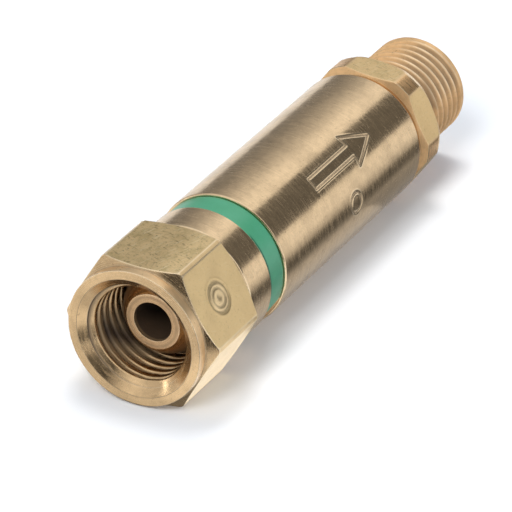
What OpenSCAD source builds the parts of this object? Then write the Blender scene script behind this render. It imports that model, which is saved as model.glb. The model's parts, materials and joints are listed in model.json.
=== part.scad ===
// Brass flame arrestor for a gas hose: a swivel nut and ball-nosed nipple at the inlet, a check valve
// and a sintered flame element in the barrel, and a hexagon collar with a threaded stud at the outlet.
// The gas runs along +X. The origin is on the axis in the plane of the nut's mouth.
// The stud's thread is a row of plain grooves. The other threads are plain cylinders at their major
// diameter, so that the stud of another fitting goes into the nut.

/* [Threads] */
// Major diameter of the hose thread, in the nut and on the stud
hose_thread_d = 14.29; // [12:0.01:16]
// Turns of the hose thread in one inch
thread_per_inch = 18; // [16:1:24]
// Radial room between the stud of another fitting and the nut's thread
hose_thread_play = 0.04; // [0.02:0.01:0.1]
// Thickness of the barrel's wall around the threads that join it to its two end pieces
joint_wall = 1.775; // [1.475:0.025:2.175]
// Radial room in every joint that is screwed or pressed together
fit_play = 0.02; // [0.01:0.01:0.05]

/* [Swivel nut] */
// Distance across the nut's flats
nut_af = 19.05; // [18.8:0.05:22]
// Diameter to which the nut's corners are turned
nut_corner_d = 21.7; // [21.2:0.05:25]
// Length of the nut
nut_len = 12.9; // [11.5:0.1:18]
// Diameter of the round boss at the nut's mouth
nut_boss_d = 18.7; // [17.4:0.05:18.75]
// Length of the boss
nut_boss_len = 1.4; // [0.6:0.1:2.5]
// Diameter of the countersink at the mouth
mouth_d = 16.3; // [15.2:0.05:17]
// Depth of the countersink
mouth_depth = 0.9; // [0.4:0.05:1.5]
// Thickness of the nut's back wall, which the nipple's flange pulls on
nut_wall = 2.5; // [1.5:0.1:3.5]
// Slope of the hexagons' chamfers, in degrees from the end face
hex_chamfer = 30; // [20:1:40]

/* [Inlet nipple] */
// Diameter of the gas passage
gas_d = 5.3; // [3.5:0.1:5.6]
// Diameter of the nose's flat end
nose_tip_d = 7.6; // [6.8:0.1:9]
// Diameter of the nose's ball
nose_ball_d = 11.8; // [10:0.1:12]
// Length of the nose in front of its flange
nose_len = 3.85; // [2.5:0.05:5]
// Diameter of the flange behind the nose
flange_d = 12.2; // [12.05:0.05:12.6]
// Thickness of the flange
flange_t = 1.7; // [1:0.1:2.5]
// Axial room between the flange and the nut's back wall
flange_play = 0.1; // [0.05:0.01:0.3]
// Diameter of the journal that the nut turns on
journal_d = 10; // [9.2:0.1:11]
// Radial running room between the nut and its journal
journal_play = 0.06; // [0.02:0.01:0.1]
// Axial room between the nut and the inlet body
nut_gap = 0.4; // [0.2:0.05:0.8]
// Diameter of the nipple's threaded tail
tail_d = 8.6; // [8.2:0.1:9]
// Length of the tail
tail_len = 4.3; // [3:0.1:6]
// Diameter of the screen's pocket in the tail
screen_d = 6.8; // [6.2:0.1:7.2]
// Thickness of the inlet screen
screen_t = 0.5; // [0.3:0.05:0.8]
// Clear width of one opening of the screen
screen_gap = 0.6; // [0.4:0.05:0.7]
// Spacing of the screen's openings
screen_pitch = 0.95; // [0.85:0.05:1.2]
// Length of the ring behind the screen
screen_ring_len = 1.3; // [0.8:0.1:1.8]
// Thickness of the gasket under the tail
nipple_gasket_t = 0.6; // [0.4:0.05:1]

/* [Inlet body] */
// How far the section between the nut and the band lies below the barrel's surface
shoulder_drop = 0.125; // [-0.025:0.025:0.325]
// Length of that section
shoulder_len = 5.5; // [4:0.1:9]
// Edge break at the front of that section
shoulder_chamfer = 0.4; // [0.1:0.05:0.8]
// Width of the groove for the colour band
groove_w = 3.8; // [2.5:0.1:6]
// Depth of the groove below that section's surface
groove_depth = 0.4; // [0.35:0.025:0.75]
// Thickness of the colour band
band_t = 0.17; // [0.1:0.01:0.22]
// Gap at each edge of the colour band
band_gap = 0.12; // [0.05:0.01:0.3]
// Thickness of the wall that the valve's seat stands on
seat_wall = 1.4; // [1:0.1:2.5]
// Height of the seat's lip
seat_lip_h = 0.6; // [0.3:0.05:1]
// Width of the seat's lip
seat_lip_w = 0.6; // [0.3:0.05:0.7]
// Diameter of the valve chamber
chamber_d = 9.8; // [9:0.1:10.2]

/* [Check valve] */
// Diameter of the poppet's head
head_d = 8.4; // [8:0.05:8.6]
// Thickness of the poppet's head
head_t = 2.5; // [1.8:0.1:3.5]
// Diameter of the rubber disc in the head
seal_d = 7; // [6.8:0.05:7.3]
// Thickness of the rubber disc
seal_t = 1; // [0.7:0.05:1.4]
// How far the rubber disc stands out of the head
seal_proud = 0.3; // [0.1:0.05:0.5]
// Diameter of the poppet's stem
stem_d = 3; // [2.4:0.1:3.2]
// Radial running room between the stem and its guide
stem_play = 0.05; // [0.02:0.01:0.1]
// How far the stem stands out behind the guide when the valve is shut
stem_over = 1; // [0.4:0.1:2]
// Travel of the poppet to its stop
travel = 2; // [1:0.1:2.8]
// Length of the spring when the valve is shut
spring_len = 4.5; // [3.6:0.1:7]
// Mean diameter of the spring
spring_d = 6.2; // [5.8:0.05:6.8]
// Diameter of the spring's wire
wire_d = 0.6; // [0.4:0.05:0.7]
// Number of turns in the spring
spring_turns = 4.5; // [3.5:0.5:5]
// Diameter of the guide's hub, which stops the poppet
hub_d = 4.6; // [4.2:0.1:4.8]
// Diameter of the guide
guide_d = 10.8; // [10.6:0.05:11.2]
// Thickness of the guide
guide_t = 2; // [1.4:0.1:3]
// Diameter of each gas hole in the guide
guide_hole_d = 2; // [1.4:0.1:2.1]
// Number of gas holes in the guide
guide_holes = 6; // [4:1:7]
// Depth of the snap ring's groove
clip_depth = 0.5; // [0.3:0.05:0.6]
// Thickness of the snap ring
clip_t = 0.8; // [0.5:0.05:1.2]
// Width of the snap ring's section
clip_w = 1; // [0.8:0.05:1.2]
// Opening between the snap ring's ends, in degrees
clip_open = 40; // [20:1:80]
// Length of the inlet body behind the snap ring
clip_land = 0.9; // [0.6:0.1:2]

/* [Barrel] */
// Outside diameter of the barrel
barrel_d = 18.55; // [18.4:0.05:20]
// Length of the barrel
barrel_len = 39; // [34:0.1:60]
// Edge break at the front of the barrel
barrel_edge = 0.15; // [0.05:0.05:0.3]
// Chamfer at the back of the barrel
barrel_chamfer = 1.25; // [0.3:0.05:1.3]
// Height of the step from the joint threads down to the bore around the flame element
bore_step = 0.8; // [0.6:0.05:1.5]
// Run-out at the end of each thread in the barrel
thread_relief = 0.4; // [0.2:0.1:1]

/* [Seals between barrel and end pieces] */
// Thickness of each O-ring
o_ring_t = 1.1; // [0.8:0.05:1.3]
// Width of each O-ring's groove
o_groove_w = 1.5; // [1.4:0.05:2]
// Distance from the barrel's end to the groove, past its edge break
o_ring_back = 1.9; // [1.6:0.1:2.5]

/* [Flame element] */
// Outside diameter of the sintered tube
element_d = 10.4; // [9:0.1:11]
// Bore of the sintered tube
element_bore = 6.4; // [5.8:0.1:7]
// Depth of the seat that the tube stands in
element_seat = 2; // [1.2:0.1:3]
// Thickness of the gasket under the tube
element_gasket_t = 0.6; // [0.4:0.05:1]
// Thickness of the cap's disc
cap_t = 1.2; // [0.8:0.1:2]
// Length of the cap's plug inside the tube
cap_plug = 1.6; // [0.8:0.1:3]
// Room between the open poppet's stem and the cap
cap_gap = 1.5; // [0.8:0.1:3]

/* [Outlet adapter] */
// How far the collar's flats lie below the barrel's surface
collar_drop = 0.275; // [-0.325:0.025:0.325]
// How far the collar's turned corners stand above the barrel's surface
collar_rise = 0.45; // [0.375:0.025:1.025]
// How far below the barrel's surface the collar's chamfers begin
collar_face_drop = 0.575; // [0.375:0.025:0.875]
// Length of the collar
collar_len = 4.9; // [3.5:0.1:8]
// How far the collar's flats are turned from the nut's, in degrees
collar_turn = 5; // [-30:1:30]
// Length of the part screwed into the barrel
spigot_len = 9.1; // [7.5:0.1:12]
// Length of the stud
stud_len = 11.85; // [9:0.05:18]
// Depth of the stud's thread
stud_thread_depth = 0.6; // [0.3:0.05:0.8]
// Plain length of the stud beside the collar, where the thread runs out
stud_neck = 2.4; // [1:0.1:3]
// Plain length of the stud behind its end
stud_land = 1.4; // [1.2:0.1:2]
// Chamfer at the stud's end
stud_chamfer = 0.35; // [0.2:0.05:1.1]
// Diameter of the outlet passage
outlet_d = 6; // [4:0.1:6.2]
// Diameter of the conical seat at the stud's mouth
cone_d = 11.2; // [9.5:0.1:11.4]
// Half angle of the conical seat, in degrees
cone_angle = 30; // [25:1:45]

/* [Hidden] */
$fn = 96;

// Stations along the axis, from the nut's mouth towards the outlet
x_nut_wall = nut_len - nut_wall;
x_flange_back = x_nut_wall - flange_play;
x_flange = x_flange_back - flange_t;
x_tip = x_flange - nose_len;
x_shoulder = nut_len + nut_gap;
x_groove = x_shoulder + shoulder_len;
x_barrel = x_groove + groove_w;
x_tail = x_shoulder + tail_len;
x_pocket = x_tail + nipple_gasket_t;
x_chamber = x_pocket + seat_wall;
x_seat = x_chamber + seat_lip_h;
x_head = x_seat + seal_proud;
x_head_back = x_head + head_t;
x_guide = x_head_back + spring_len;
x_guide_back = x_guide + guide_t;
x_stem_end = x_guide_back + stem_over;
x_clip_back = x_guide_back + clip_t;
x_body_end = x_clip_back + clip_land;
x_collar = x_barrel + barrel_len;
x_spigot = x_collar - spigot_len;
x_element_end = x_spigot + element_seat - element_gasket_t;
x_cap = max(x_stem_end + travel, x_body_end) + cap_gap;
x_element = x_cap + cap_t;
x_stud = x_collar + collar_len;
x_end = x_stud + stud_len;
x_cone = x_end - (cone_d - outlet_d) / 2 / tan(cone_angle);

// Radii that more than one piece takes
r_gas = gas_d / 2;
r_barrel = barrel_d / 2;
r_joint = r_barrel - joint_wall;
r_shoulder = r_barrel - shoulder_drop;
r_groove = r_shoulder - groove_depth;
r_o_floor = r_joint - o_ring_t;
r_pocket = guide_d / 2 + fit_play;
r_clip_groove = r_pocket + clip_depth;
seal_recess = seal_t - seal_proud;

// The hose thread's pitch, and the width of its groove at the top and at the bottom
thread_pitch = 25.4 / thread_per_inch;
thread_groove_w = 0.6 * thread_pitch;
thread_root_w = 0.12 * thread_pitch;

// How far a cut runs past a face, and how far two shapes of one piece run into each other
past = 1;
lap = 0.3;

BRASS = [0.76, 0.60, 0.36];
RED_BRASS = [0.74, 0.56, 0.38];
RUBBER = [0.08, 0.08, 0.08];
STEEL = [0.62, 0.62, 0.62];
GREEN = [0.20, 0.55, 0.40];
FIBRE = [0.55, 0.20, 0.16];

// Turns an outline of [radius, x] points round the X axis.
module turned(outline) {
    rotate([0, 90, 0]) rotate_extrude() polygon(outline);
}

// A plain ring between two radii and two stations.
module ring(r_in, r_out, x0, x1) {
    turned([[r_in, x0], [r_out, x0], [r_out, x1], [r_in, x1]]);
}

// A round bar from one station to another.
module bar(r, x0, x1) {
    translate([x0, 0, 0]) rotate([0, 90, 0]) cylinder(r = r, h = x1 - x0);
}

// A hexagonal prism that lies on a flat.
module hexagon(af, x0, x1) {
    translate([x0, 0, 0]) rotate([0, 90, 0]) rotate([0, 0, 30])
        cylinder(d = af / cos(30), h = x1 - x0, $fn = 6);
}

// Length along the axis of a hexagon's chamfer that climbs from one radius to another.
function chamfer_len(r_face, r_corner) = (r_corner - r_face) * tan(hex_chamfer);

// An O-ring that lies in a groove of radius r_o_floor, centred at station x.
module o_ring(x) {
    translate([x, 0, 0]) rotate([0, 90, 0])
        rotate_extrude() translate([r_joint - o_ring_t / 2, 0]) circle(d = o_ring_t - fit_play, $fn = 32);
}

module swivel_nut() color(BRASS) {
    r_corner = nut_corner_d / 2;
    r_boss = nut_boss_d / 2;
    rise = chamfer_len(r_boss, r_corner);
    r_thread = hose_thread_d / 2 + hose_thread_play;
    r_mouth = mouth_d / 2;
    mouth_rise = r_mouth - r_thread;
    difference() {
        union() {
            bar(r_boss, 0, nut_boss_len + lap);
            intersection() {
                hexagon(nut_af, nut_boss_len, nut_len);
                turned([[0, nut_boss_len], [r_boss, nut_boss_len], [r_corner, nut_boss_len + rise],
                        [r_corner, nut_len - rise], [r_boss, nut_len], [0, nut_len]]);
            }
        }
        bar(r_thread, -past, x_nut_wall);
        turned([[0, -mouth_depth], [r_mouth + mouth_rise, -mouth_depth],
                [r_thread, mouth_depth], [0, mouth_depth]]);
        bar(journal_d / 2 + journal_play, x_nut_wall - past, nut_len + past);
    }
}

module inlet_nipple() color(RED_BRASS) {
    r_ball = nose_ball_d / 2;
    r_tip = nose_tip_d / 2;
    x_ball = x_tip + sqrt(r_ball * r_ball - r_tip * r_tip);
    x_ball_end = min(x_ball, x_flange);
    a_tip = asin(r_tip / r_ball);
    a_end = acos((x_ball - x_ball_end) / r_ball);
    steps = 16;
    nose = [for (i = [0 : steps]) let (a = a_tip + (a_end - a_tip) * i / steps)
        [r_ball * sin(a), x_ball - r_ball * cos(a)]];
    difference() {
        turned(concat(
            [[r_gas, x_tip]], nose,
            [[r_ball * sin(a_end), x_flange], [flange_d / 2, x_flange], [flange_d / 2, x_flange_back],
             [journal_d / 2, x_flange_back], [journal_d / 2, x_shoulder], [tail_d / 2, x_shoulder],
             [tail_d / 2, x_tail], [r_gas, x_tail]]));
        bar(screen_d / 2, x_tail - screen_ring_len - screen_t, x_tail + past);
    }
}

module inlet_screen() color(STEEL) {
    x_screen = x_tail - screen_ring_len - screen_t;
    reach = floor((r_gas - screen_gap * sqrt(2) / 2) / screen_pitch);
    difference() {
        bar(screen_d / 2 - fit_play, x_screen, x_screen + screen_t);
        for (i = [-reach : reach], j = [-reach : reach])
            if (norm([i, j]) * screen_pitch + screen_gap * sqrt(2) / 2 <= r_gas)
                translate([x_screen + screen_t / 2, i * screen_pitch, j * screen_pitch])
                    cube([2 * screen_t, screen_gap, screen_gap], center = true);
    }
}

module screen_ring() color(BRASS)
    ring(r_gas, screen_d / 2 - fit_play, x_tail - screen_ring_len, x_tail);

module nipple_gasket() color(FIBRE)
    ring(r_gas, tail_d / 2, x_tail, x_pocket);

module inlet_body() color(RED_BRASS) {
    r_tail_hole = tail_d / 2 + fit_play;
    r_chamber = chamber_d / 2;
    r_lip = r_gas + seat_lip_w;
    x_o_ring = x_barrel + o_ring_back;
    turned([
        [r_tail_hole, x_shoulder], [r_shoulder - shoulder_chamfer, x_shoulder],
        [r_shoulder, x_shoulder + shoulder_chamfer], [r_shoulder, x_groove], [r_groove, x_groove],
        [r_groove, x_barrel], [r_joint, x_barrel],
        [r_joint, x_o_ring - o_groove_w / 2], [r_o_floor, x_o_ring - o_groove_w / 2],
        [r_o_floor, x_o_ring + o_groove_w / 2], [r_joint, x_o_ring + o_groove_w / 2],
        [r_joint, x_body_end], [r_pocket, x_body_end],
        [r_pocket, x_clip_back], [r_clip_groove, x_clip_back],
        [r_clip_groove, x_guide_back], [r_pocket, x_guide_back],
        [r_pocket, x_guide], [r_chamber, x_guide], [r_chamber, x_chamber],
        [r_lip, x_chamber], [r_lip, x_seat], [r_gas, x_seat], [r_gas, x_pocket], [r_tail_hole, x_pocket]
    ]);
}

module color_band() color(GREEN)
    ring(r_groove, r_groove + band_t, x_groove + band_gap, x_barrel - band_gap);

module body_o_ring() color(RUBBER) o_ring(x_barrel + o_ring_back);

module valve_poppet() color(BRASS) {
    difference() {
        union() {
            bar(head_d / 2, x_head, x_head_back);
            bar(stem_d / 2, x_head_back - lap, x_stem_end);
        }
        bar(seal_d / 2 + fit_play, x_head - past, x_head + seal_recess);
    }
}

module poppet_seal() color(RUBBER) bar(seal_d / 2, x_seat, x_seat + seal_t);

// A coil from the poppet's head to the guide: its centre line climbs by one pitch in each turn.
module valve_spring() color(STEEL) {
    sides = 10;
    per_turn = 24;
    rings = round(spring_turns * per_turn);
    x0 = x_head_back + wire_d / 2;
    rise = spring_len - wire_d;
    points = [for (i = [0 : rings], j = [0 : sides - 1])
        let (turn = 360 * i / per_turn,
             side = 360 * j / sides,
             r = spring_d / 2 + wire_d / 2 * cos(side))
        [x0 + rise * i / rings + wire_d / 2 * sin(side), r * cos(turn), r * sin(turn)]];
    walls = [for (i = [0 : rings - 1], j = [0 : sides - 1])
        let (k = (j + 1) % sides)
        [i * sides + j, i * sides + k, (i + 1) * sides + k, (i + 1) * sides + j]];
    first = [for (j = [sides - 1 : -1 : 0]) j];
    last = [for (j = [0 : sides - 1]) rings * sides + j];
    polyhedron(points, concat(walls, [first, last]), convexity = 10);
}

module valve_guide() color(BRASS) {
    hole_circle_r = (hub_d / 2 + chamber_d / 2) / 2;
    difference() {
        union() {
            bar(guide_d / 2, x_guide, x_guide_back);
            bar(hub_d / 2, x_head_back + travel, x_guide + lap);
        }
        bar(stem_d / 2 + stem_play, x_head_back, x_guide_back + past);
        for (i = [0 : guide_holes - 1])
            rotate([360 * i / guide_holes, 0, 0]) translate([0, 0, hole_circle_r])
                bar(guide_hole_d / 2, x_guide - past, x_guide_back + past);
    }
}

module guide_clip() color(STEEL) {
    r_out = r_clip_groove - fit_play;
    translate([x_guide_back, 0, 0]) rotate([90 + clip_open / 2, 0, 0]) rotate([90, 0, 90])
        rotate_extrude(angle = 360 - clip_open) translate([r_out - clip_w, 0]) square([clip_w, clip_t]);
}

module barrel() color(RED_BRASS) {
    r_thread = r_joint + fit_play;
    r_bore = r_joint - bore_step;
    x_thread_end = x_body_end + thread_relief;
    x_thread_start = x_spigot - thread_relief;
    turned([
        [r_thread, x_barrel], [r_barrel - barrel_edge, x_barrel], [r_barrel, x_barrel + barrel_edge],
        [r_barrel, x_collar - barrel_chamfer], [r_barrel - barrel_chamfer, x_collar], [r_thread, x_collar],
        [r_thread, x_thread_start], [r_bore, x_thread_start],
        [r_bore, x_thread_end], [r_thread, x_thread_end]
    ]);
}

module element_cap() color(STEEL) {
    bar(element_d / 2, x_cap, x_element);
    bar(element_bore / 2 - fit_play, x_element - lap, x_element + cap_plug);
}

module flame_element() color(STEEL)
    ring(element_bore / 2, element_d / 2, x_element, x_element_end);

module element_gasket() color(FIBRE)
    ring(element_bore / 2, element_d / 2, x_element_end, x_element_end + element_gasket_t);

module outlet_o_ring() color(RUBBER) o_ring(x_collar - o_ring_back);

module outlet_adapter() color(BRASS) {
    r_corner = r_barrel + collar_rise;
    r_face = r_barrel - collar_face_drop;
    rise = chamfer_len(r_face, r_corner);
    r_stud = hose_thread_d / 2;
    r_outlet = outlet_d / 2;
    x_o_ring = x_collar - o_ring_back;
    r_root = r_stud - stud_thread_depth;
    x_groove_last = x_end - stud_land - thread_groove_w / 2;
    x_groove_first = x_stud + stud_neck + thread_groove_w / 2;
    turns = floor((x_groove_last - x_groove_first) / thread_pitch);
    grooves = [for (i = [turns : -1 : 0]) let (x = x_groove_last - i * thread_pitch)
        each [[r_stud, x - thread_groove_w / 2], [r_root, x - thread_root_w / 2],
              [r_root, x + thread_root_w / 2], [r_stud, x + thread_groove_w / 2]]];
    difference() {
        union() {
            turned(concat([
                [0, x_spigot], [r_joint, x_spigot],
                [r_joint, x_o_ring - o_groove_w / 2], [r_o_floor, x_o_ring - o_groove_w / 2],
                [r_o_floor, x_o_ring + o_groove_w / 2], [r_joint, x_o_ring + o_groove_w / 2],
                [r_joint, x_collar + lap], [r_stud, x_collar + lap]
            ], grooves, [[r_stud, x_end - stud_chamfer], [r_stud - stud_chamfer, x_end], [0, x_end]]));
            intersection() {
                rotate([collar_turn, 0, 0]) hexagon(2 * (r_barrel - collar_drop), x_collar, x_stud);
                turned([[0, x_collar], [r_face, x_collar], [r_corner, x_collar + rise],
                        [r_corner, x_stud - rise], [r_face, x_stud], [0, x_stud]]);
            }
        }
        bar(element_d / 2 + fit_play, x_spigot - past, x_spigot + element_seat);
        bar(r_outlet, x_spigot, x_end + past);
        turned([[0, x_cone], [r_outlet, x_cone], [cone_d / 2, x_end],
                [cone_d / 2, x_end + past], [0, x_end + past]]);
    }
}

swivel_nut();
inlet_nipple();
inlet_screen();
screen_ring();
nipple_gasket();
inlet_body();
color_band();
body_o_ring();
valve_poppet();
poppet_seal();
valve_spring();
valve_guide();
guide_clip();
barrel();
element_cap();
flame_element();
element_gasket();
outlet_o_ring();
outlet_adapter();
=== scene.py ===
# A brass flame arrestor for a gas hose, dressed for a studio picture. Sizes here are in millimetres, and
# the gas runs along +X from the swivel nut to the threaded stud.
import json
import math

import bmesh
import bpy
import numpy as np
from mathutils import Matrix, Vector


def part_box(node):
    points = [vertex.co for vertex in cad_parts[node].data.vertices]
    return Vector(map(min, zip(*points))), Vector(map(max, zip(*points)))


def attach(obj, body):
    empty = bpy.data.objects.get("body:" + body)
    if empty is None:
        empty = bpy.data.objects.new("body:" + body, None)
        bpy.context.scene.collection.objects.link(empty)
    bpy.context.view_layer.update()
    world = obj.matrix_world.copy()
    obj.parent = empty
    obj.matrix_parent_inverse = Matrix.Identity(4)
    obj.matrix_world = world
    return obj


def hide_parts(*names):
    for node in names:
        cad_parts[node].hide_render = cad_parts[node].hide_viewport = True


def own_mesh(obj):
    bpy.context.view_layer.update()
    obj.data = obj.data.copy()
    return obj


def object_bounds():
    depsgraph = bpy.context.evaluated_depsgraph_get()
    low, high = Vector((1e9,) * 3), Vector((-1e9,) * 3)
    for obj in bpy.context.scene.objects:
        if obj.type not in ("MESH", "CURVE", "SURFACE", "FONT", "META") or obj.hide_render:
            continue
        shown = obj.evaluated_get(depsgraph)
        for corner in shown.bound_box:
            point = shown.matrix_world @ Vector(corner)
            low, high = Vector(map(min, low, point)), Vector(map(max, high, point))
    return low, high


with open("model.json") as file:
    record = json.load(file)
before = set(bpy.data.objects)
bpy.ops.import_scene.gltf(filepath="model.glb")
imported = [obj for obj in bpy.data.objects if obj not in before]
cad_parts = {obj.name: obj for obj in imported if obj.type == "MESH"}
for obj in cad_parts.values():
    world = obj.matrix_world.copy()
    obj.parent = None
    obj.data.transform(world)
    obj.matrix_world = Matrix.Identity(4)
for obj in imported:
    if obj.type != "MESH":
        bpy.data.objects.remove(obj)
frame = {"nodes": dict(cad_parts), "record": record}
cad_low, cad_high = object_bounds()
nodes = frame["nodes"]
MM = 0.001


# Inlet nipple: turned from brass bar. Its ball nose seals in the regulator's cone, its flange takes the
# swivel nut's pull, and its tail is screwed into the inlet body.
def extent(node):
    """First station, last station and radius of a piece on the axis, from the frame, in mm."""
    low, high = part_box(node)
    return low.x / MM, high.x / MM, high.z / MM


ARC_POINTS = 5
GUARD_REACH = 1.6


def rounded(corners):
    """Points x and r round a closed outline, and how strongly the outline bends at each.

    A corner is (x, r, fillet, step). Each becomes the parabola (1-s)²A + 2s(1-s)C + s²B from the point
    A, one fillet before the corner C, to the point B, one fillet after it. One more point on each side, a
    little past the fillet, keeps the faces beside the bend flat. The straight run after a corner has points
    at most one step apart. The bend is 4s(1-s)."""
    corners = np.array(corners, float)
    middle, fillet = corners[:, :2], corners[:, 2:3]
    back, ahead = np.roll(middle, 1, 0) - middle, np.roll(middle, -1, 0) - middle
    back /= np.linalg.norm(back, axis=1, keepdims=True)
    ahead /= np.linalg.norm(ahead, axis=1, keepdims=True)
    back, ahead = back * fillet, ahead * fillet
    s = np.linspace(0, 1, ARC_POINTS)[:, None, None]
    arcs = (1 - s) ** 2 * (middle + back) + 2 * s * (1 - s) * middle + s ** 2 * (middle + ahead)
    arcs = np.concatenate([[middle + back * GUARD_REACH], arcs, [middle + ahead * GUARD_REACH]])
    per_corner = len(arcs)
    path = arcs.transpose(1, 0, 2).reshape(-1, 2)
    path = np.vstack([path, path[:1]])
    bend = np.pad(4 * s * (1 - s) * np.sign(fillet), ((1, 1), (0, 0), (0, 0)))[:, :, 0].T.ravel()
    bend = np.append(bend, bend[0])
    along = np.append(0, np.cumsum(np.linalg.norm(np.diff(path, axis=0), axis=1)))
    starts, stops = along[per_corner - 1:-1:per_corner], along[per_corner::per_corner]
    counts = np.ceil((stops - starts) / corners[:, 3]).astype(int) + 1
    runs = [np.linspace(a, b, n) for a, b, n in zip(starts, stops, counts)]
    marks = np.unique(np.concatenate([along, *runs]).round(4))[:-1]
    return [np.interp(marks, along, values)[:, None] for values in (path[:, 0], path[:, 1], bend)]


def spread_angles(count, *bunches):
    """Angles round the axis that lie closer together in each bunch (middle, width, gain): they split the
    sum of 1 + gain·exp(-((a - middle)/width)²) into equal parts."""
    a = np.linspace(0, 2 * np.pi, 7201)
    weight = np.ones_like(a)
    for middle, width, gain in bunches:
        away = (a - middle + np.pi) % (2 * np.pi) - np.pi
        weight += gain * np.exp(-(away / width) ** 2)
    total = np.append(0, np.cumsum((weight[1:] + weight[:-1]) / 2))
    return np.interp(np.arange(count) / count * total[-1], total, a)[None, :]


def put_mesh(name, points, quads):
    """A smooth-shaded object at the origin from arrays of points, in mm, and of four-sided faces."""
    mesh = bpy.data.meshes.new(name)
    mesh.vertices.add(len(points))
    mesh.vertices.foreach_set("co", (points * MM).astype(np.float32).ravel())
    mesh.loops.add(quads.size)
    mesh.loops.foreach_set("vertex_index", quads.astype(np.int32).ravel())
    mesh.polygons.add(len(quads))
    mesh.polygons.foreach_set("loop_start", np.arange(0, quads.size, 4, dtype=np.int32))
    mesh.update(calc_edges=True)
    mesh.validate()
    mesh.shade_smooth()
    piece = bpy.data.objects.new(name, mesh)
    bpy.context.scene.collection.objects.link(piece)
    return piece


def turned_piece(name, x, r, turn):
    """The surface (x, r·cos turn, r·sin turn) on a grid that closes on itself along the outline and round
    the axis."""
    x, r, turn = np.broadcast_arrays(x, r, turn)
    points = np.stack([x, r * np.cos(turn), r * np.sin(turn)], -1).reshape(-1, 3)
    here = np.arange(x.size).reshape(x.shape)
    beside, after = np.roll(here, -1, 1), np.roll(here, -1, 0)
    quads = np.stack([here, beside, np.roll(beside, -1, 0), after], -1).reshape(-1, 4)
    return put_mesh(name, points, quads)


def mark_points(piece, grid, **values):
    """Spreads values over a piece's grid, given as its shape, as point attributes for its material."""
    for name, array in values.items():
        layer = piece.data.attributes.new(name, "FLOAT", "POINT")
        layer.data.foreach_set("value", np.broadcast_to(array, grid).astype(np.float32).ravel())


class Wire:
    """A value in a shader. An operator adds a Math node, and node() adds any other node."""

    def __init__(self, socket):
        self.socket = socket

    def node(self, kind, settings, sockets, out=0):
        """Adds a node of a kind, makes its settings, then gives its sockets values or wires."""
        tree = self.socket.id_data
        made = tree.nodes.new("ShaderNode" + kind)
        for key, value in settings.items():
            setattr(made, key, value)
        for key, value in sockets.items():
            if isinstance(value, Wire):
                tree.links.new(value.socket, made.inputs[key])
            else:
                made.inputs[key].default_value = value
        return Wire(made.outputs[out])

    def math(self, operation, *values):
        return self.node("Math", {"operation": operation}, dict(enumerate(values)))

    def __add__(self, other):
        return self.math("ADD", self, other)

    def __sub__(self, other):
        return self.math("SUBTRACT", self, other)

    def __rsub__(self, other):
        return self.math("SUBTRACT", other, self)

    def __mul__(self, other):
        return self.math("MULTIPLY", self, other)

    __radd__, __rmul__ = __add__, __mul__

    def between(self, low, high):
        """0 below low, 1 above high, and a smooth rise from one to the other."""
        return self.node("MapRange", {"interpolation_type": "SMOOTHSTEP"},
                         {"Value": self, "From Min": low, "From Max": high})

    def blend(self, first, second):
        """The first colour where this value is 0 and the second where it is 1."""
        return self.node("Mix", {"data_type": "RGBA"}, {0: self, 6: first, 7: second}, 2)

    def noise(self, scale, detail, roughness=0.5):
        return self.node("TexNoise", {}, {"Vector": self, "Scale": scale, "Detail": detail,
                                          "Roughness": roughness})

    def attribute(self, name):
        """The piece's point attribute of that name."""
        return self.node("Attribute", {"attribute_name": name}, {}, "Fac")

    def bump(self, strength, distance, invert=False):
        """A normal with this value as its height, where a height of 1 stands out by the distance, in mm."""
        return self.node("Bump", {"invert": invert},
                         {"Height": self, "Strength": strength, "Distance": distance * MM})


def tone(red, green, blue):
    return red, green, blue, 1.0


def open_material(name):
    """A new material, its shader, and the object's own coordinates in mm as a wire."""
    material = bpy.data.materials.new(name)
    material.use_nodes = True
    tree = material.node_tree
    shader = tree.nodes["Principled BSDF"]
    place = Wire(tree.nodes.new("ShaderNodeTexCoord").outputs["Object"])
    place = place.node("VectorMath", {"operation": "SCALE"}, {0: place, "Scale": 1 / MM})
    return material, shader, place


def feed(shader, **wires):
    """Links wires to a shader's sockets, named with a line for each space."""
    for name, wire in wires.items():
        shader.id_data.links.new(wire.socket, shader.inputs[name.replace("_", " ")])


PATINA_TONE = tone(0.50, 0.38, 0.16)
SPECK_TONE = tone(0.16, 0.10, 0.05)
PIT_TONE = tone(0.30, 0.21, 0.09)
SCRATCH_TONE = tone(0.92, 0.78, 0.50)
SCORE_TONE = tone(0.24, 0.16, 0.07)
RUBBED_AND_HIGHLIGHT_TONE = tone(0.93, 0.76, 0.52)
DIRT_AND_SHADE_TONE = tone(0.045, 0.027, 0.017)
DULL_SHARE = 0.62


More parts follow.
